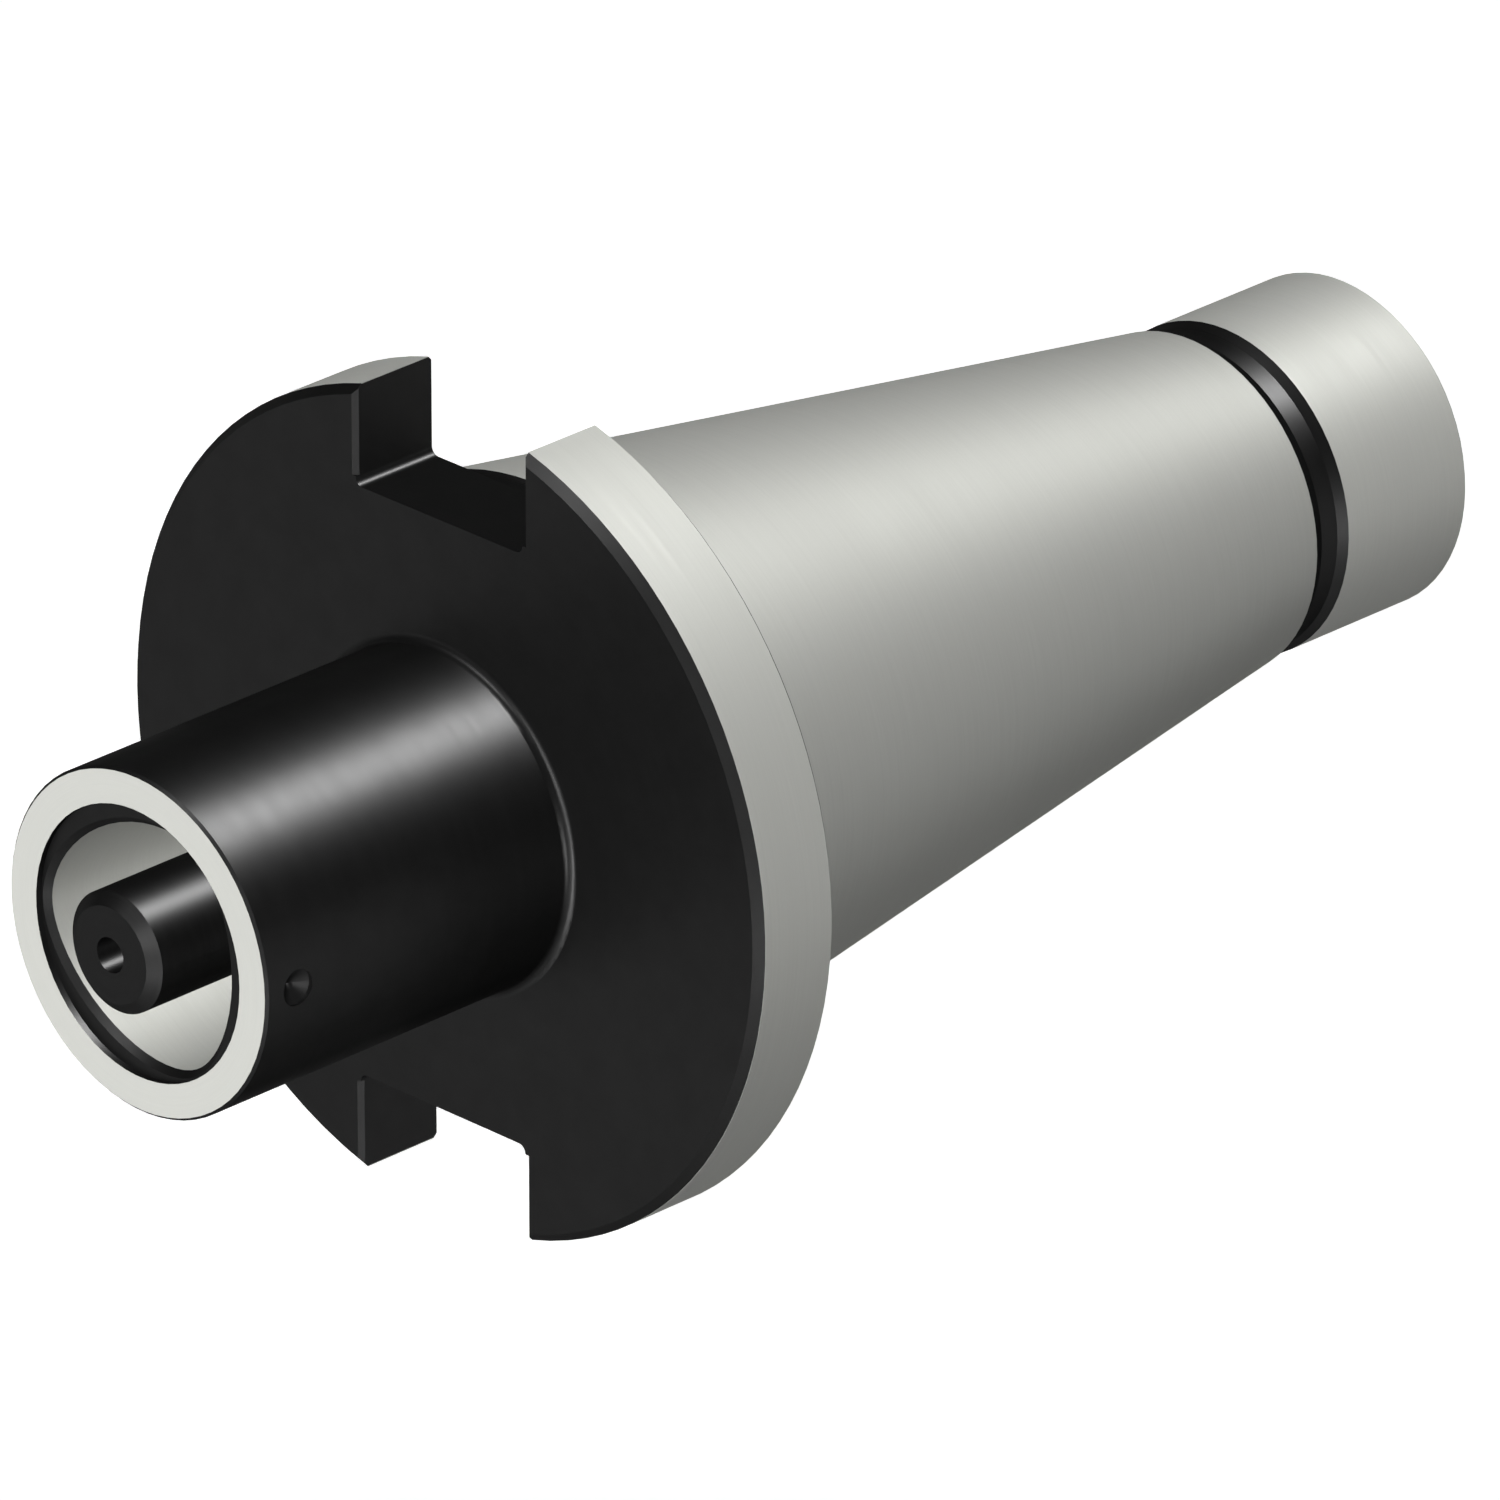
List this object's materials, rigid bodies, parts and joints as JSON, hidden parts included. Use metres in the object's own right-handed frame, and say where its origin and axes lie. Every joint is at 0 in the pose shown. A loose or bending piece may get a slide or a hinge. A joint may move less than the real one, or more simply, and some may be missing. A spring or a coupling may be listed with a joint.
{
  "type": "steep-taper modular tool holder adapter",
  "caption": "Steep-taper milling spindle shank with a slotted drive flange, a round nose with a three-lobed polygonal taper bore and a hollow centre bolt that draws a modular cutting unit in.",
  "frame": {"origin": "on the tool axis in the gauge plane of the steep taper, where its diameter is 69.85 mm", "axes": "+Y along the tool axis from the nose to the tail, +Z to the middle of one drive slot, +X to the orientation dimple"},
  "size_m": [0.0974, 0.1908, 0.094],
  "materials": {
    "holder_steel": "fine ground on the taper, pilot, flange rim and coupling, blackened elsewhere",
    "bolt_steel": "blackened, turned",
    "washer_steel": "hardened and ground",
    "seal_rubber": "smooth moulded",
    "spring_steel": "phosphated spring steel"
  },
  "bodies": {
    "holder": {"holder_body": "holder_steel", "thrust_washer": "washer_steel", "retaining_ring": "spring_steel"},
    "bolt_carriage": {"bolt_seal_ring": "seal_rubber"},
    "bolt": {"centre_bolt": "bolt_steel"}
  },
  "joints": [
    {"name": "bolt_float", "type": "slide", "parent": "holder", "child": "bolt_carriage", "axis": [0, 1, 0], "range_m": [0, 0.003]},
    {"name": "bolt_spin", "type": "hinge", "parent": "bolt_carriage", "child": "bolt", "pos_m": [0, 0, 0], "axis": [0, 1, 0], "continuous": true}
  ]
}
